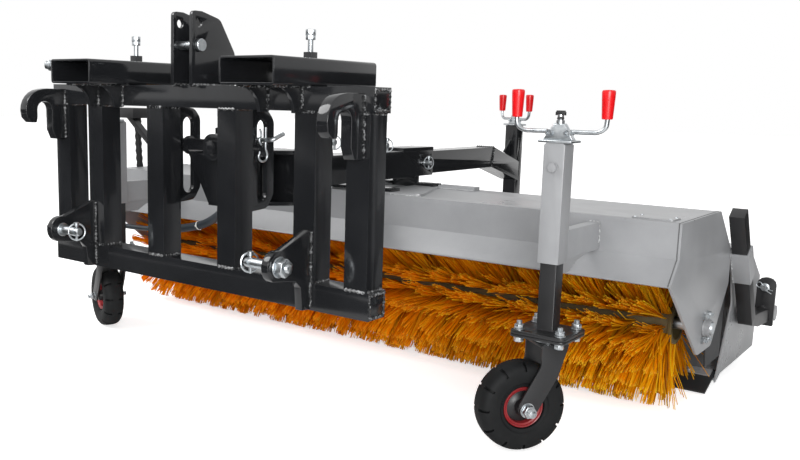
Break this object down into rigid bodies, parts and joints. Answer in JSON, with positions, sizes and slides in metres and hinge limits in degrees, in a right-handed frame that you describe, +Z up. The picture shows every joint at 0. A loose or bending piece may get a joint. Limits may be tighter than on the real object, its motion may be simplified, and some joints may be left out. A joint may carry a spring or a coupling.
{
  "type": "carried roller sweeper",
  "caption": "Roller sweeper with a folded hood, tipping collecting box, height-cranked casters, rear support arm and a coupling frame for forks, hooks or linkage pins.",
  "frame": {"origin": "on the ground below the middle of the brush axis", "axes": "+X along the brush, +Y from the coupling frame towards the collecting box, +Z up"},
  "size_m": [2.6805, 2.381, 1.216],
  "materials": {
    "grey_paint": "satin",
    "black_paint": "gloss",
    "zinc_plate": "satin",
    "rubber_sheet": "matte",
    "tyre_rubber": "matte",
    "red_paint": "satin",
    "bristle": "matte",
    "core_paint": "satin"
  },
  "bodies": {
    "chassis": {"hood": "grey_paint", "post_sleeve_right": "grey_paint", "post_sleeve_left": "grey_paint", "centre_beam": "black_paint", "rear_arm": "black_paint", "arm_pin": "zinc_plate", "side_curtain_right": "rubber_sheet", "side_curtain_left": "rubber_sheet", "brush_bearing_right": "grey_paint", "brush_motor_left": "black_paint", "hose_support": "black_paint", "motor_hose": "rubber_sheet", "front_hose": "rubber_sheet"},
    "brush": {"brush_core": "core_paint", "bristle_strip_1": "bristle", "bristle_strip_2": "bristle", "bristle_strip_3": "bristle", "bristle_strip_4": "bristle", "bristle_strip_5": "bristle", "bristle_strip_6": "bristle"},
    "box_carriers": {"box_carrier_right": "black_paint", "box_carrier_left": "black_paint"},
    "collecting_box": {"collecting_box": "grey_paint", "lip_strip": "grey_paint", "rubber_lip": "rubber_sheet"},
    "swivel": {"swivel_head": "black_paint"},
    "roll_beam": {"roll_beam": "black_paint"},
    "coupling_frame": {"coupling_frame": "black_paint", "top_link_mast": "black_paint", "fork_pocket_right": "black_paint", "fork_pocket_left": "black_paint", "coupling_hook_right": "black_paint", "coupling_hook_left": "black_paint", "link_bracket_right": "black_paint", "link_bracket_left": "black_paint", "link_pin_right": "zinc_plate", "link_pin_left": "zinc_plate", "lynch_pin_right": "zinc_plate", "lynch_pin_left": "zinc_plate"},
    "top_link_pin": {"top_link_pin": "zinc_plate"},
    "clamp_bolt_right": {"clamp_bolt_right": "zinc_plate"},
    "clamp_bolt_left": {"clamp_bolt_left": "zinc_plate"},
    "post_right": {"post_inner_right": "black_paint", "caster_plate_right": "zinc_plate"},
    "caster_right": {"caster_fork_right": "black_paint"},
    "wheel_right": {"tyre_right": "tyre_rubber", "rim_right": "red_paint"},
    "crank_right": {"height_crank_right": "zinc_plate"},
    "post_left": {"post_inner_left": "black_paint", "caster_plate_left": "zinc_plate"},
    "caster_left": {"caster_fork_left": "black_paint"},
    "wheel_left": {"tyre_left": "tyre_rubber", "rim_left": "red_paint"},
    "crank_left": {"height_crank_left": "zinc_plate"},
    "post_rear": {"post_inner_rear": "black_paint", "caster_plate_rear": "zinc_plate"},
    "caster_rear": {"caster_fork_rear": "black_paint"},
    "wheel_rear": {"tyre_rear": "tyre_rubber", "rim_rear": "red_paint"},
    "crank_rear": {"height_crank_rear": "zinc_plate"}
  },
  "joints": [
    {"name": "height_slide_right", "type": "slide", "parent": "chassis", "child": "post_right", "axis": [0, 0, 1], "range_m": [-0.1, 0.07]},
    {"name": "height_crank_right", "type": "hinge", "parent": "chassis", "child": "crank_right", "pos_m": [0.99, -0.635, 0.88], "axis": [0, 0, 1], "range_deg": [-6100, 4300]},
    {"name": "caster_swivel_right", "type": "hinge", "parent": "post_right", "child": "caster_right", "pos_m": [0.99, -0.635, 0.31], "axis": [0, 0, 1], "continuous": true},
    {"name": "wheel_spin_right", "type": "hinge", "parent": "caster_right", "child": "wheel_right", "pos_m": [0.9428, -0.69329, 0.13], "axis": [0.7771, -0.6293, 0], "continuous": true},
    {"name": "height_slide_left", "type": "slide", "parent": "chassis", "child": "post_left", "axis": [0, 0, 1], "range_m": [-0.1, 0.07]},
    {"name": "height_crank_left", "type": "hinge", "parent": "chassis", "child": "crank_left", "pos_m": [-0.893, -0.635, 0.88], "axis": [0, 0, 1], "range_deg": [-6100, 4300]},
    {"name": "caster_swivel_left", "type": "hinge", "parent": "post_left", "child": "caster_left", "pos_m": [-0.933, -0.635, 0.31], "axis": [0, 0, 1], "continuous": true},
    {"name": "wheel_spin_left", "type": "hinge", "parent": "caster_left", "child": "wheel_left", "pos_m": [-1.00254, -0.60691, 0.13], "axis": [-0.3746, -0.9272, 0], "continuous": true},
    {"name": "height_slide_rear", "type": "slide", "parent": "chassis", "child": "post_rear", "axis": [0, 0, 1], "range_m": [-0.1, 0.07]},
    {"name": "height_crank_rear", "type": "hinge", "parent": "chassis", "child": "crank_rear", "pos_m": [0.09, 0.93, 0.88], "axis": [0, 0, 1], "range_deg": [-6100, 4300]},
    {"name": "caster_swivel_rear", "type": "hinge", "parent": "post_rear", "child": "caster_rear", "pos_m": [0.09, 0.93, 0.31], "axis": [0, 0, 1], "range_deg": [-100, 100]},
    {"name": "wheel_spin_rear", "type": "hinge", "parent": "caster_rear", "child": "wheel_rear", "pos_m": [0.09, 1.005, 0.13], "axis": [-1, 0, 0], "continuous": true},
    {"name": "brush_spin", "type": "hinge", "parent": "chassis", "child": "brush", "pos_m": [0, 0, 0.272], "axis": [1, 0, 0], "continuous": true},
    {"name": "box_height", "type": "slide", "parent": "chassis", "child": "box_carriers", "axis": [0, -0.5446, 0.8387], "range_m": [-0.03, 0.025]},
    {"name": "box_tip", "type": "hinge", "parent": "box_carriers", "child": "collecting_box", "pos_m": [0, 0.765, 0.19], "axis": [1, 0, 0], "range_deg": [0, 8]},
    {"name": "angle_turn", "type": "hinge", "parent": "chassis", "child": "swivel", "pos_m": [0, -0.8, 0.715], "axis": [0, 0, 1], "range_deg": [-15, 15]},
    {"name": "roll_turn", "type": "hinge", "parent": "swivel", "child": "roll_beam", "pos_m": [0, -0.938, 0.815], "axis": [0, 1, 0], "range_deg": [-4, 4]},
    {"name": "float_slide", "type": "slide", "parent": "roll_beam", "child": "coupling_frame", "axis": [0, 0, 1], "range_m": [0, 0.09]},
    {"name": "top_link_pin_pull", "type": "slide", "parent": "coupling_frame", "child": "top_link_pin", "axis": [1, 0, 0], "range_m": [0, 0.13]},
    {"name": "clamp_right", "type": "slide", "parent": "coupling_frame", "child": "clamp_bolt_right", "axis": [0, 0, 1], "range_m": [-0.025, 0]},
    {"name": "clamp_left", "type": "slide", "parent": "coupling_frame", "child": "clamp_bolt_left", "axis": [0, 0, 1], "range_m": [-0.025, 0]}
  ],
  "couplings": [
    {"joint": "height_crank_right", "follows": "height_slide_right", "rad_per_m": 1047.2},
    {"joint": "height_crank_left", "follows": "height_slide_left", "rad_per_m": 1047.2},
    {"joint": "height_crank_rear", "follows": "height_slide_rear", "rad_per_m": 1047.2}
  ]
}
